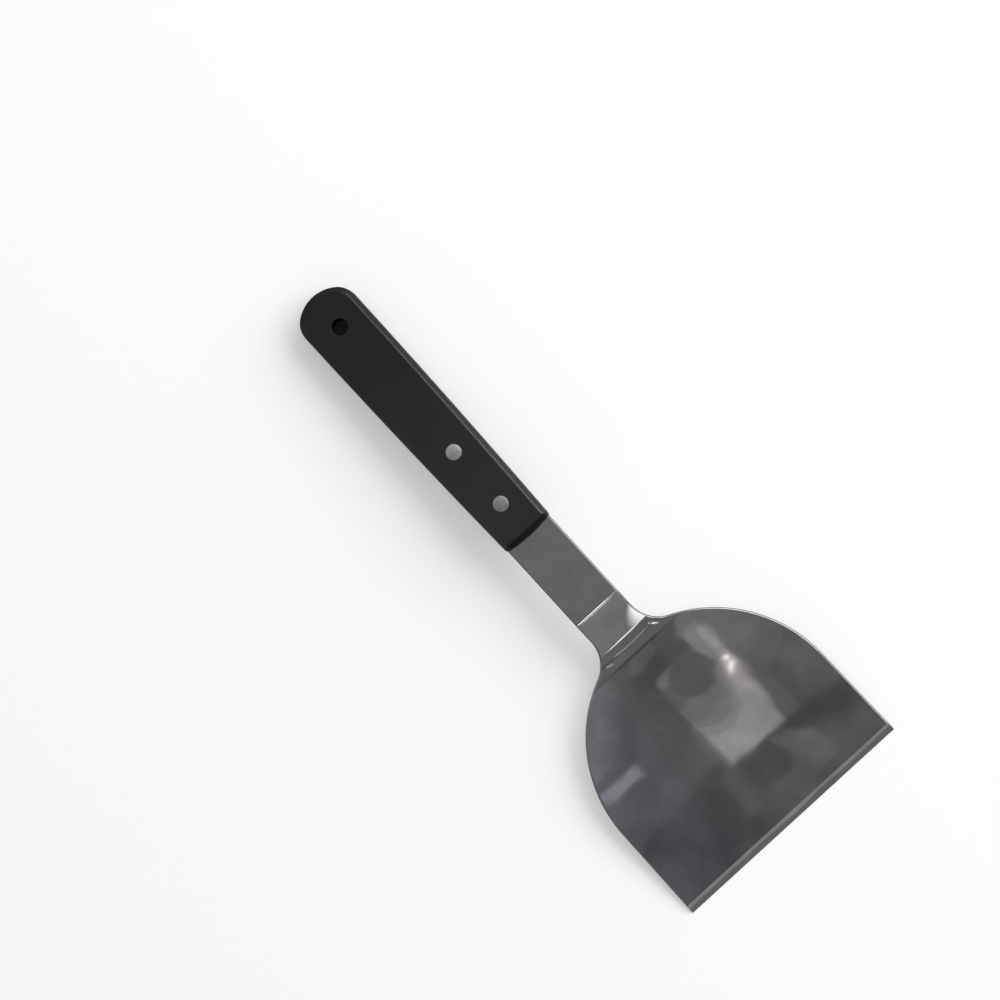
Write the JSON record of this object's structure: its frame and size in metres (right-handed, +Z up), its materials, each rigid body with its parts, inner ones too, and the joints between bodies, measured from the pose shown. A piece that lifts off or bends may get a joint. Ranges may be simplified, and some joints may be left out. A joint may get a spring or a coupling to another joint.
{
  "type": "grill scraper",
  "caption": "Hand scraper with a wide stamped steel blade, ground front edge, cranked neck and a riveted black moulded handle with a hanging hole.",
  "frame": {"origin": "on the surface that the tool lies on, under the middle of its bounding box", "axes": "+X along the tool towards the cutting edge, +Y across it, +Z up; the tool lies on its cutting edge and the rear underside of its handle"},
  "size_m": [0.2976, 0.1142, 0.0223],
  "materials": {
    "blade_steel": "polished stainless sheet, slightly mottled",
    "handle_plastic": "moulded, fine matt grain",
    "rivet_steel": "plain turned and pressed heads"
  },
  "bodies": {
    "root": {"blade": "blade_steel", "handle": "handle_plastic", "rivet_front_male": "rivet_steel", "rivet_front_female": "rivet_steel", "rivet_rear_male": "rivet_steel", "rivet_rear_female": "rivet_steel"}
  },
  "joints": []
}
